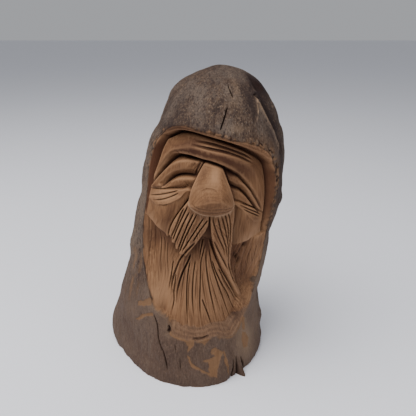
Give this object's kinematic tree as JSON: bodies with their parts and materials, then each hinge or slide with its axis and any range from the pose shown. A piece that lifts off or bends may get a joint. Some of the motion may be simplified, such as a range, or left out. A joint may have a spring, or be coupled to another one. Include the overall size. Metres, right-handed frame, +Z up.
{
  "type": "gnome face carving",
  "caption": "Hooded, bearded gnome face carved into a whole cypress knee, with the bark left on round it, standing on its flat sawn underside.",
  "frame": {"origin": "bottom centre of the bounding box, in the flat sawn underside", "axes": "+Z up, the carved face towards -Y, +X to the right seen from the front"},
  "size_m": [0.1434, 0.1198, 0.23],
  "materials": {
    "carved_wood": "bare knife-cut wood with its bark left on, matt with a faint oil sheen"
  },
  "bodies": {
    "root": {"gnome_carving": "carved_wood"}
  },
  "joints": []
}
